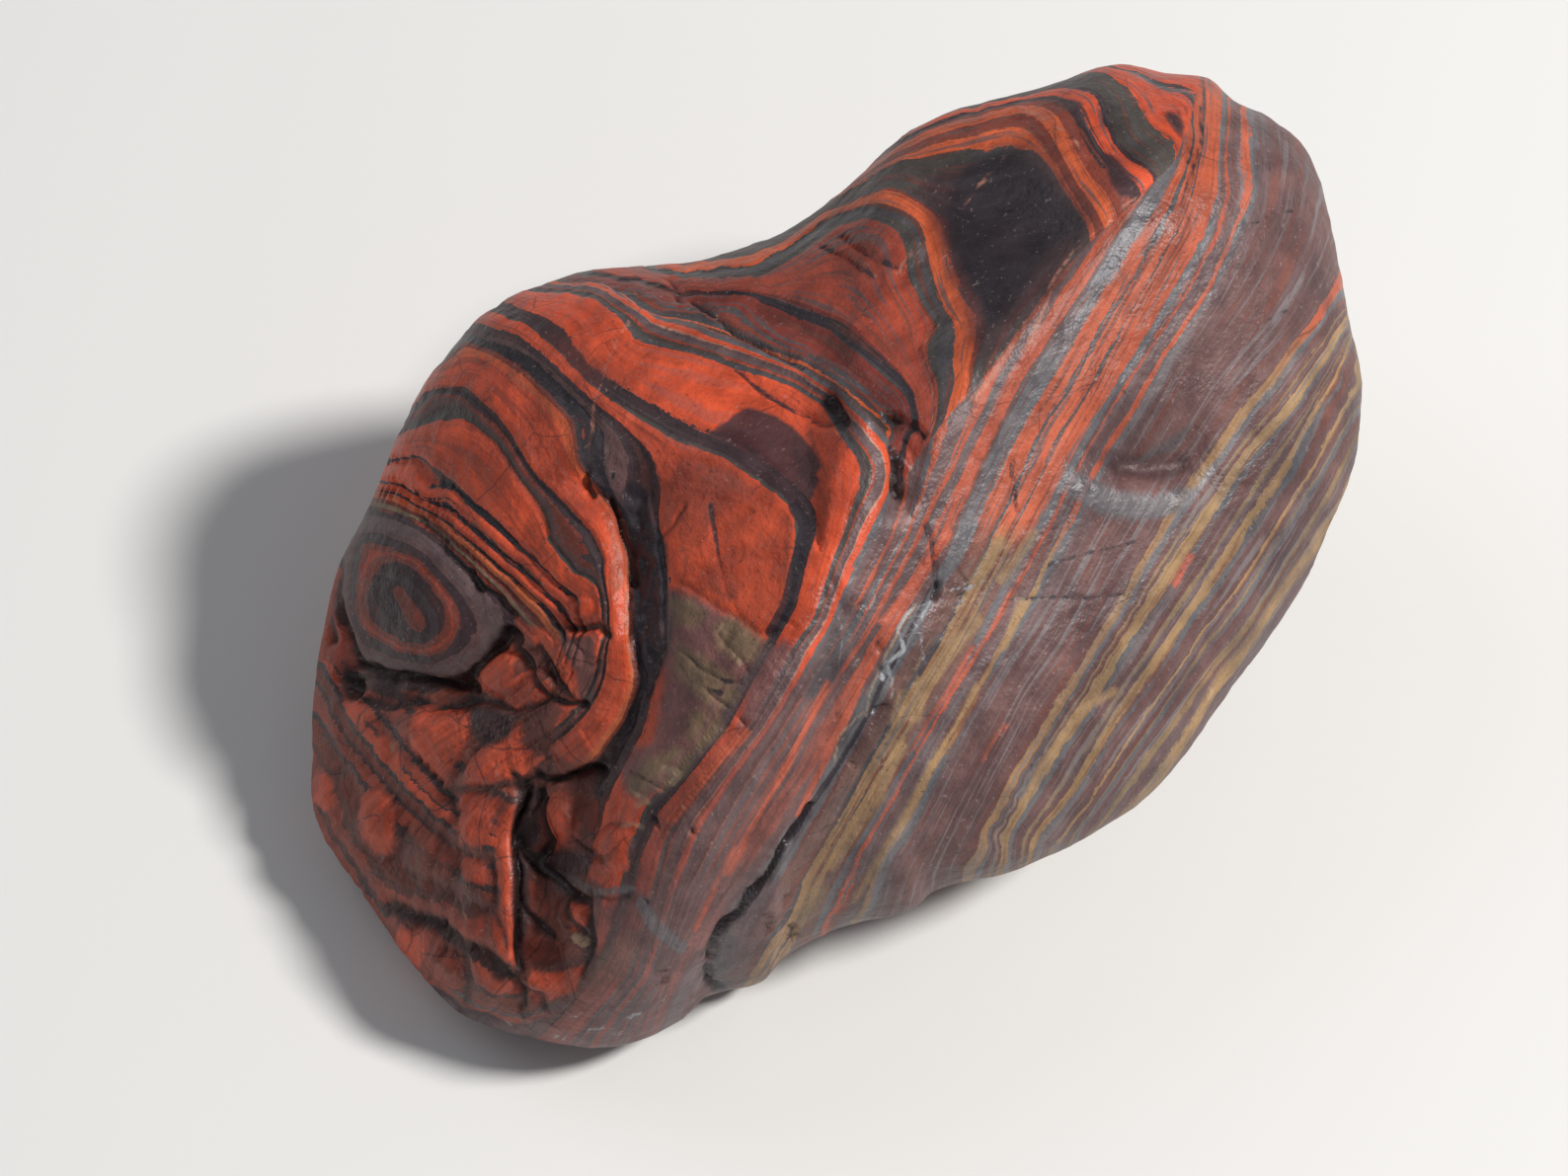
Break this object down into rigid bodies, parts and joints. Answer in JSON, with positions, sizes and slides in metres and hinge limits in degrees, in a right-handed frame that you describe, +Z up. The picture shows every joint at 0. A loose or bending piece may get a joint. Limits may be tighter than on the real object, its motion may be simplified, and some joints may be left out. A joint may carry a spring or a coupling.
{
  "type": "banded ironstone",
  "caption": "Water-worn cobble of folded banded ironstone, two rounded faces meeting at a ridge, resting on a small worn flat",
  "frame": {"origin": "on the ground, under the middle of the stone's box", "axes": "+Z up as the stone lies; +X along its long axis, towards the upper hump; +Y towards the back"},
  "size_m": [0.1204, 0.0838, 0.0647],
  "materials": {
    "banded_jasper_and_iron_ore": "water-worn, waxy where it is red jasper and dull metallic where it is iron ore, in folded bands"
  },
  "bodies": {
    "root": {"banded_ironstone": "banded_jasper_and_iron_ore"}
  },
  "joints": []
}
